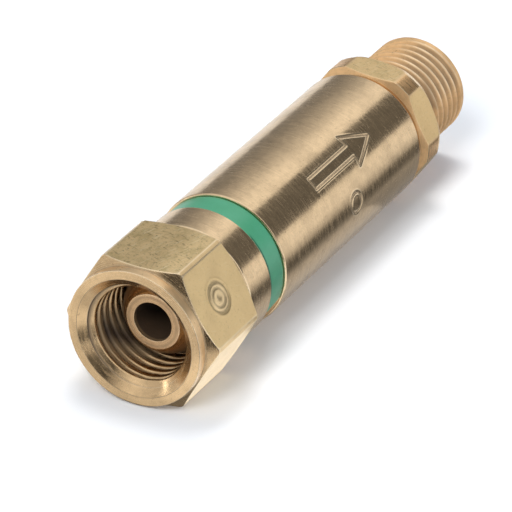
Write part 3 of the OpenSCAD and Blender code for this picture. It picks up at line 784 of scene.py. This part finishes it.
# Painted highlights with rubbed brightness: a bright band along the collar's rear bevel, the outline's
# bends and the edges between turned corners and flats, and on the stud bright lines on the thread's crests.
bevel_highlight = smooth_step(adapter_x, bevel_x, bevel_x + 0.15) * (adapter_x < stud_x - 0.3)
adapter_edge = np.maximum(0.8 * adapter_bend, bevel_highlight) * turned_share
adapter_edge = np.maximum(adapter_edge, 1.2 * turned_share * (1 - turned_share))
adapter_edge = adapter_edge * (blank_r > STUD_R + 0.1)
lit_and_shaded_side = smooth_step(collar_turn, *LIT_AND_SHADED_RISE) * (1 - 0.85 * smooth_step(collar_turn, *LIT_AND_SHADED_FALL))
crest_highlight = smooth_step(stud_ridge, 0.8, 1.0) * thread_fade * lit_and_shaded_side
adapter_edge = np.where(on_stud, 0.95 * crest_highlight, adapter_edge)
# Painted shade: the grooves on one side of the stud, a band on the neck beside the collar, and the outlet's
# bore.
neck_side = smooth_step(collar_turn, *NECK_RISE) * (1 - smooth_step(collar_turn, *NECK_FALL))
neck_shade = 0.6 * neck_side * np.exp(-((adapter_x - neck_x - 0.9) / 0.6) ** 2)
flank_shade = 0.06 * stud_groove + 0.56 * lit_and_shaded_side * smooth_step(stud_groove, 0.04, 0.40)
adapter_grime = np.where(on_stud, np.maximum(flank_shade, neck_shade), 0.0)
in_outlet = (blank_r < OUTLET_R + 0.05) & (adapter_x < cone_x)
adapter_grime = np.maximum(adapter_grime, 0.8 * in_outlet)

adapter = turned_piece("outlet_fitting", adapter_x, adapter_r, collar_turn)
top_flat = smooth_step(np.sin(collar_turn), 0.8, 0.9)
chamfer_satin = np.where(adapter_x < collar_x + collar_rise, 0.6, 0.16)
collar_satin = turned_share * chamfer_satin + 0.6 * (1 - turned_share) * top_flat
mark_points(adapter, adapter_r.shape, drawn=1 - turned_share, edge=adapter_edge, grime=adapter_grime,
            satin=np.where(on_stud, 1.0, collar_satin), wear=0.1 + 0.5 * top_flat)
stud_tone, collar_tone = tone(0.93, 0.585, 0.285), tone(0.80, 0.58, 0.295)
adapter.data.materials.append(brass("adapter_brass", stud_tone, collar_tone, 0.27))
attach(adapter, "arrestor")
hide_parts("outlet_adapter")


# Barrel: a turned brass sleeve screwed over the two end pieces, with a wide chamfer at the back. A plain
# flow arrow and a ring are stamped into its side.
BARREL_EDGE = 0.15
BARREL_CHAMFER = 1.25
BARREL_BORE_R = 6.7
JOINT_PLAY = 0.02
THREAD_RELIEF = 0.4
ARROW_ANGLE = math.radians(134)
ARROW_TAIL_X = 35.0
ARROW_NECK_X = 45.5
ARROW_POINT_X = 50.5
ARROW_SHAFT = 0.85
ARROW_HEAD = 2.3
ARROW_SPAN = (33.5, 52.0)
MARK_RING_ANGLE = math.radians(172)
MARK_RING_X = 42.2
MARK_RING_R = 1.35
STROKE_W = 0.15
STROKE_DEPTH = 0.11


def outline_distance(u, v, corners):
    """Distance of each point (u, v) from a closed line through corners: for a side from a to b it is the
    length of p - a - t·(b - a), with t the foot's share of the side kept in 0 to 1, and the least over the
    sides counts."""
    a = np.array(corners, float)
    side = np.roll(a, -1, 0) - a
    du, dv = u[..., None] - a[:, 0], v[..., None] - a[:, 1]
    t = np.clip((du * side[:, 0] + dv * side[:, 1]) / (side ** 2).sum(1), 0, 1)
    return np.hypot(du - t * side[:, 0], dv - t * side[:, 1]).min(-1)


joint_bore = JOINT_R + JOINT_PLAY
bore_front = body_end + THREAD_RELIEF
bore_back = adapter_start - THREAD_RELIEF
barrel_turn = spread_angles(310, (math.radians(148), math.radians(27), 3.0))
barrel_x, blank_r, barrel_bend = rounded([
    (barrel_front, joint_bore, 0.05, 0.3), (barrel_front, barrel_r - BARREL_EDGE, 0.06, 0.1),
    (barrel_front + BARREL_EDGE, barrel_r, 0.06, 0.5), (ARROW_SPAN[0], barrel_r, 0.0, 0.11),
    (ARROW_SPAN[1], barrel_r, 0.0, 0.5), (barrel_back - BARREL_CHAMFER, barrel_r, 0.10, 0.2),
    (barrel_back, barrel_r - BARREL_CHAMFER, 0.06, 0.3), (barrel_back, joint_bore, 0.05, 2.0),
    (bore_back, joint_bore, 0.05, 0.5), (bore_back, BARREL_BORE_R, 0.05, 2.0),
    (bore_front, BARREL_BORE_R, 0.05, 0.5), (bore_front, joint_bore, 0.05, 2.0)])
u, v = np.broadcast_arrays(barrel_x, barrel_r * (barrel_turn - ARROW_ANGLE))
arrow = outline_distance(u, v, [
    (ARROW_TAIL_X, -ARROW_SHAFT), (ARROW_NECK_X, -ARROW_SHAFT), (ARROW_NECK_X, -ARROW_HEAD),
    (ARROW_POINT_X, 0.0), (ARROW_NECK_X, ARROW_HEAD), (ARROW_NECK_X, ARROW_SHAFT),
    (ARROW_TAIL_X, ARROW_SHAFT)])
ring = np.abs(np.hypot(barrel_x - MARK_RING_X, barrel_r * (barrel_turn - MARK_RING_ANGLE)) - MARK_RING_R)
stroke = np.minimum(arrow, ring)
outside = blank_r > barrel_r - 0.01
cut = outside * np.exp(-(stroke / STROKE_W) ** 2)
lip = outside * np.exp(-((stroke - 2.1 * STROKE_W) / (0.8 * STROKE_W)) ** 2)
barrel_surface = blank_r - STROKE_DEPTH * cut + 0.2 * STROKE_DEPTH * lip

barrel = turned_piece("barrel_sleeve", barrel_x, barrel_surface, barrel_turn)
# Rubbed brightness and painted highlights on the outline's bends and on the raised lips round the stamped
# strokes; the cut strokes are darker.
barrel_edge = 0.8 * np.maximum(barrel_bend * (blank_r > JOINT_R + 0.3), lip)
mark_points(barrel, barrel_surface.shape, edge=barrel_edge, grime=0.5 * cut)
barrel.data.materials.append(red_brass)
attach(barrel, "arrestor")
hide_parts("barrel")


# Floor: a plain white sweep that the arrestor lies on. It looks white to the camera and in the metal, and
# keeps the shadow.
def plain_sheet(name, corners):
    """A four-cornered stage sheet, its corners in mm."""
    sheet = put_mesh(name, np.array(corners, float), np.array([[0, 1, 2, 3]]))
    return sheet


FLOOR_HALF = 3000.0
FLOOR_GLOW = 0.08
floor_z = cad_low.z / MM
floor_signs = [(-1, -1), (1, -1), (1, 1), (-1, 1)]
floor = plain_sheet("floor", [(FLOOR_HALF * a, FLOOR_HALF * b, floor_z) for a, b in floor_signs])


def seen_rays(tree):
    """1 for a ray from the camera, from gloss or through glass, and 0 for the rays of soft light."""
    camera = Wire(tree.nodes.new("ShaderNodeLightPath").outputs["Is Camera Ray"])
    glossy = Wire(camera.socket.node.outputs["Is Glossy Ray"])
    through = Wire(camera.socket.node.outputs["Is Transmission Ray"])
    return camera.math("MAXIMUM", camera, glossy.math("MAXIMUM", glossy, through))


floor_white, floor_shader, _ = open_material("floor_white")
floor_shader.inputs["Base Color"].default_value = tone(0.86, 0.86, 0.86)
floor_shader.inputs["Roughness"].default_value = 1.0
floor_shader.inputs["Specular IOR Level"].default_value = 0.0
floor_shader.inputs["Emission Strength"].default_value = 1.0
glow = seen_rays(floor_white.node_tree).blend(tone(0, 0, 0), tone(FLOOR_GLOW, FLOOR_GLOW, FLOOR_GLOW))
feed(floor_shader, Emission_Color=glow)
floor.data.materials.append(floor_white)


# Reflector cards: soft boxes and flags round the axis and grey sheets on the floor, which show only as
# reflections in the brass.
def card(name, ends, y, z, strength):
    """A sheet drawn along the axis between two ends from a section (y, z), all in mm, that glows with the
    strength given at each point of the section."""
    x, y, z, strength = np.broadcast_arrays(np.array(ends, float)[:, None], y, z, strength)
    here = np.arange(x.size).reshape(x.shape)
    quads = np.stack([here[:-1, :-1], here[1:, :-1], here[1:, 1:], here[:-1, 1:]], -1).reshape(-1, 4)
    piece = put_mesh(name, np.stack([x, y, z], -1).reshape(-1, 3), quads)
    mark_points(piece, strength.shape, strength=strength)
    material, shader, place = open_material(name + "_light")
    glow = place.attribute("strength")
    shader.inputs["Base Color"].default_value = tone(0, 0, 0)
    shader.inputs["Specular IOR Level"].default_value = 0.0
    shader.inputs["Emission Strength"].default_value = 1.0
    feed(shader, Emission_Color=glow.node("CombineColor", {}, {0: glow, 1: glow, 2: glow}))
    piece.data.materials.append(material)
    piece.visible_camera = False
    piece.visible_diffuse = False
    piece.visible_shadow = False
    piece.visible_transmission = False


CARD_STEPS = 60


def round_card(name, ends, radius, *stops):
    """A card bent round the axis, its strength running evenly between stops of an angle, in degrees, and a
    strength: the section is (radius·cos a, radius·sin a)."""
    angle, strength = np.array(stops, float).T
    a = np.linspace(angle[0], angle[-1], CARD_STEPS)
    y, z = radius * np.cos(np.radians(a)), radius * np.sin(np.radians(a))
    card(name, ends, y, z, np.interp(a, angle, strength))


def floor_card(name, ends, lift, *stops):
    """A card lying a lift, in mm, over the floor, its strength running evenly between stops of a place y,
    in mm, and a strength."""
    y, strength = np.array(stops, float).T
    card(name, ends, y, floor_z + lift, strength)


round_card("left_card", (0, 1600), 500, (5, 0.21), (34, 0.29))
round_card("soft_box", (-1600, 1600), 510, (34, 0.29), (58, 0.52), (74, 0.78), (84, 1.0), (90, 1.06),
           (108.5, 1.04))
round_card("dark_flag", (-1600, 1600), 500, (108.5, 0.16), (163, 0.13))
round_card("right_card", (-1600, 1600), 510, (163, 1.0), (180.5, 0.98))
floor_card("side_sheet", (26.5, 900), 0.04, (-500, 0.98), (-90, 0.97), (-59, 0.80), (-38, 0.56),
           (-30, 0.12), (-22, 0.09), (-18.5, 0.20), (-16, 0.42))
floor_card("fill_sheet", (20, 58), 0.04, (-16, 0.44), (-13, 0.54), (-9, 0.50), (-6.5, 0.30))
floor_card("back_sheet", (58, 77), 0.04, (-16, 0.30), (-6.5, 0.26))
floor_card("stud_sheet", (77, 120), 0.04, (-16, 0.85), (-4, 0.75))
floor_card("nut_light", (2.6, 20), 0.04, (-11, 1.2), (-5.7, 1.2))
floor_card("nut_shade", (-0.4, 2.6), 0.04, (-11, 0.2), (6, 0.2))
floor_card("front_sheet", (-70, -0.4), 0.04, (-70, 0.76), (16, 0.74))
floor_card("left_sheet", (-100, 900), 0.04, (16, 0.9), (30, 0.98), (400, 1.0))
floor_card("mouth_sheet", (-14, -3), 0.08, (-8.8, 1.08), (-1, 1.08))
floor_card("corner_light", (-13.5, -3), 0.12, (-22, 0.9), (-14, 0.9))
floor_card("mouth_shade", (-90, -8.5), 0.08, (-120, 0.08), (-60, 0.06), (-9.2, 0.03))
round_card("front_box", (-800, -30), 490, (0, 0.64), (40, 0.68), (60, 0.96), (104, 1.0))
round_card("front_side_box", (-330, -60), 490, (104, 1.05), (180, 1.0))
card("front_flag", (-434, -330), np.array([-250.0, 60.0]), np.array([[60.0], [330.0]]), 0.05)
card("low_flag", (-440, -430), np.array([-600.0, -380.0]), np.array([[floor_z], [150.0]]), 0.20)
round_card("glint", (-137, -79), 480, (12.5, 4.0), (18.5, 4.0))


# Lamps and surroundings: a soft lamp overhead, a little behind and to the left, one in front, a weak one on
# the right, and an even room that looks white and sheds a dim, bluish light.
LAMP_TARGET = Vector((40, 0, 0))
LAMP_COLOUR = (1.0, 0.99, 0.97)


def lamp(name, place, size, watts):
    """A square soft lamp, its place and size in mm, that lights the scene and doesn't show in the brass."""
    data = bpy.data.lights.new(name, "AREA")
    data.size = size * MM
    data.energy = watts
    data.color = LAMP_COLOUR
    piece = bpy.data.objects.new(name, data)
    bpy.context.scene.collection.objects.link(piece)
    piece.location = Vector(place) * MM
    piece.rotation_euler = (LAMP_TARGET - Vector(place)).to_track_quat("-Z", "Y").to_euler()
    piece.visible_glossy = False


lamp("key_lamp", (300, 190, 1260), 460, 7.2)
lamp("front_lamp", (-950, -110, 1050), 520, 11.3)
lamp("fill_lamp", (120, -480, 320), 400, 0.55)

world = bpy.data.worlds.new("studio")
bpy.context.scene.world = world
world.use_nodes = True
room = world.node_tree.nodes["Background"]
room_light = seen_rays(world.node_tree).blend(tone(0.31, 0.37, 0.46), tone(1, 1, 1))
world.node_tree.links.new(room_light.socket, room.inputs["Color"])
room.inputs["Strength"].default_value = 1.0


# Camera: a long lens that looks along the arrestor from the nut's end, from above and from its right side.
# It is placed by the pixel and the distance of the middle of the nut's mouth.
PICTURE = 512
FOCAL_PIXELS = 4300.0
SENSOR = 36.0
MOUTH_PIXEL = (133.49, 339.27)
MOUTH_DISTANCE = 528.97 * MM
AZIMUTH = math.radians(-61.62)
ELEVATION = math.radians(29.354)

view_back = Vector((math.sin(AZIMUTH) * math.cos(ELEVATION), -math.cos(AZIMUTH) * math.cos(ELEVATION),
                    math.sin(ELEVATION)))
view_turn = (-view_back).to_track_quat("-Z", "Y").to_matrix()
mouth_right = (MOUTH_PIXEL[0] - PICTURE / 2) / FOCAL_PIXELS * MOUTH_DISTANCE
mouth_down = (MOUTH_PIXEL[1] - PICTURE / 2) / FOCAL_PIXELS * MOUTH_DISTANCE
lens = bpy.data.cameras.new("camera")
lens.sensor_width = SENSOR
lens.lens = SENSOR * FOCAL_PIXELS / PICTURE
camera = bpy.data.objects.new("camera", lens)
bpy.context.scene.collection.objects.link(camera)
camera.matrix_world = Matrix.Translation(
    view_turn @ Vector((-mouth_right, mouth_down, MOUTH_DISTANCE))) @ view_turn.to_4x4()
bpy.context.scene.camera = camera
bpy.context.scene.view_settings.view_transform = "Standard"
